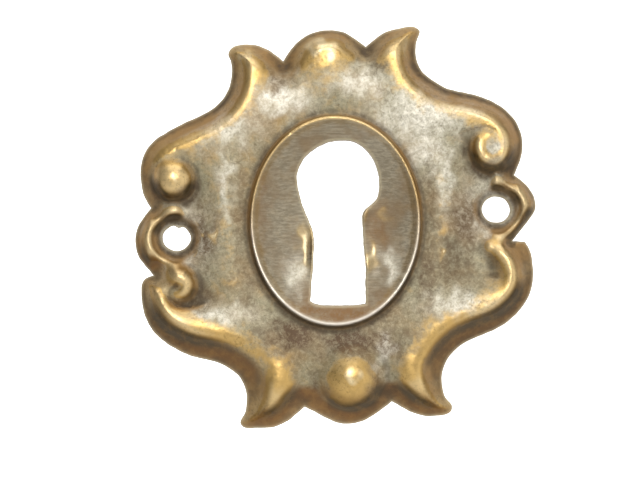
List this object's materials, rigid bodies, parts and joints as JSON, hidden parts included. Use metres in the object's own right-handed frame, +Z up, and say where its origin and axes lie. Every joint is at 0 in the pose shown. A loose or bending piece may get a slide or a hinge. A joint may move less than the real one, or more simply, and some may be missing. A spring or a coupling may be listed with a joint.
{
  "type": "keyhole escutcheon",
  "caption": "Ornate aged-brass escutcheon plate: scrolled outline, raised oval rim round a dished keyhole, domed beads and side ears for fixing screws.",
  "frame": {"origin": "halfway between the two fixing holes, on the back plane that rests on the door", "axes": "+X right and +Z up as seen from the front, the front faces -Y, and the back plane is y = 0"},
  "size_m": [0.0448, 0.0039, 0.045],
  "materials": {
    "aged_brass": "worn satin with brown patina in the hollows"
  },
  "bodies": {
    "root": {"escutcheon_plate": "aged_brass"}
  },
  "joints": []
}
